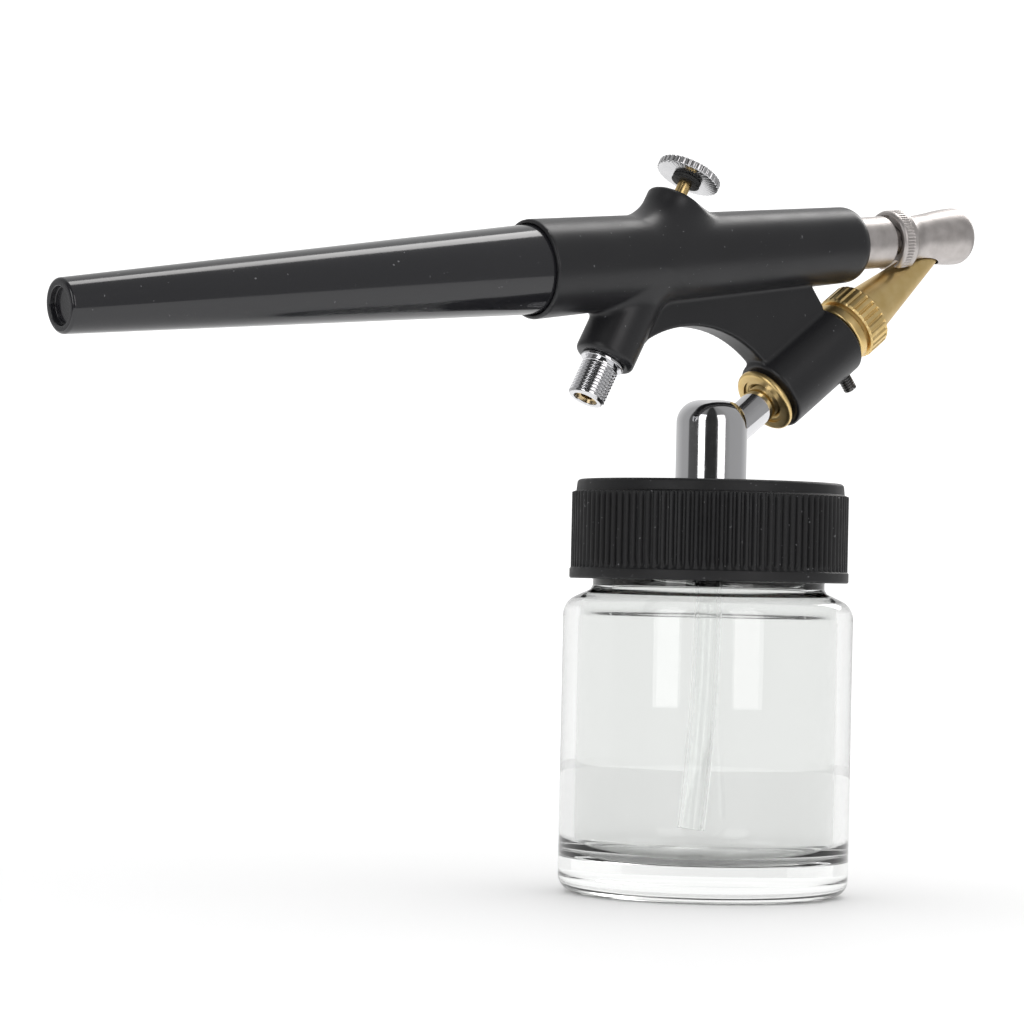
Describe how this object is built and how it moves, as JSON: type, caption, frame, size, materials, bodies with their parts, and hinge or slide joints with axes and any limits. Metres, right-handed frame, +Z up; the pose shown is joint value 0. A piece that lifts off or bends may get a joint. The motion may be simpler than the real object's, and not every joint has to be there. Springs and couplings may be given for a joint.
{
  "type": "airbrush",
  "caption": "Siphon-feed external-mix airbrush with a sprung trigger, a knurled fluid tip and a glass paint jar under a ribbed screw cap.",
  "frame": {"origin": "centre of the jar's flat base, on its underside", "axes": "+Z up along the jar's axis, +X towards the nose of the gun, +Y to the gun's left; the gun, its air valve and its paint line all lie in the XZ plane"},
  "size_m": [0.1404, 0.038, 0.0964],
  "materials": {
    "black_shell": "satin moulded",
    "black_gloss": "gloss moulded",
    "cap_black": "matt moulded",
    "satin_steel": "satin turned",
    "bright_steel": "bright",
    "dark_steel": "blackened",
    "chrome": "polished plate",
    "brass": "satin turned",
    "rubber": "matt",
    "white_seal": "matt",
    "glass": "clear, slightly green",
    "clear_plastic": "translucent"
  },
  "bodies": {
    "gun": {"body_shell": "black_shell", "air_barrel": "satin_steel", "cap_oring": "rubber", "hose_connector": "chrome", "valve_screw": "brass", "valve_spring": "bright_steel", "stem_seal": "rubber"},
    "handle": {"handle": "black_gloss"},
    "trigger": {"trigger_button": "chrome", "trigger_hub": "rubber", "trigger_stem": "brass", "valve_plunger": "brass", "plunger_seal": "rubber"},
    "air_cap": {"air_cap": "satin_steel"},
    "clamp_screw": {"clamp_screw": "dark_steel"},
    "paint_line": {"paint_tube": "brass", "socket_ring": "brass", "needle": "bright_steel", "tip_seal": "white_seal"},
    "tip": {"fluid_tip": "brass"},
    "siphon": {"siphon_tube": "chrome", "siphon_dome": "chrome", "adaptor_nut": "chrome", "cap_gasket": "white_seal", "dip_tube": "clear_plastic"},
    "cap": {"jar_cap": "cap_black"},
    "jar": {"jar": "glass"}
  },
  "joints": [
    {"name": "handle_pull", "type": "slide", "parent": "gun", "child": "handle", "axis": [-0.9921, 0, -0.1253], "range_m": [0, 0.012]},
    {"name": "trigger_press", "type": "slide", "parent": "gun", "child": "trigger", "axis": [-0.4695, 0, -0.8829], "range_m": [0, 0.0022], "stiffness_N_per_m": 300, "springref_m": -0.002, "deforming": ["valve_spring"]},
    {"name": "air_cap_slide", "type": "slide", "parent": "gun", "child": "air_cap", "axis": [0.9921, 0, 0.1253], "range_m": [0, 0.0006]},
    {"name": "clamp_screw_turn", "type": "hinge", "parent": "gun", "child": "clamp_screw", "pos_m": [0.01917, 0, 0.07294], "axis": [0.6018, 0, -0.7986], "range_deg": [0, 360]},
    {"name": "paint_line_swivel", "type": "hinge", "parent": "gun", "child": "paint_line", "pos_m": [0.00958, 0, 0.06572], "axis": [0.7986, 0, 0.6018], "range_deg": [-20, 20]},
    {"name": "tip_turn", "type": "hinge", "parent": "paint_line", "child": "tip", "pos_m": [0.02316, 0, 0.07595], "axis": [0.7986, 0, 0.6018], "range_deg": [-360, 360]},
    {"name": "siphon_pull", "type": "slide", "parent": "paint_line", "child": "siphon", "axis": [-0.7986, 0, -0.6018], "range_m": [0, 0.008]},
    {"name": "cap_turn", "type": "hinge", "parent": "siphon", "child": "cap", "pos_m": [0, 0, 0.041], "axis": [0, 0, 1], "range_deg": [0, 380]},
    {"name": "jar_lower", "type": "slide", "parent": "siphon", "child": "jar", "axis": [0, 0, -1], "range_m": [0, 0.0044]}
  ],
  "couplings": [
    {"joint": "cap_turn", "follows": "jar_lower", "rad_per_m": 1496}
  ]
}
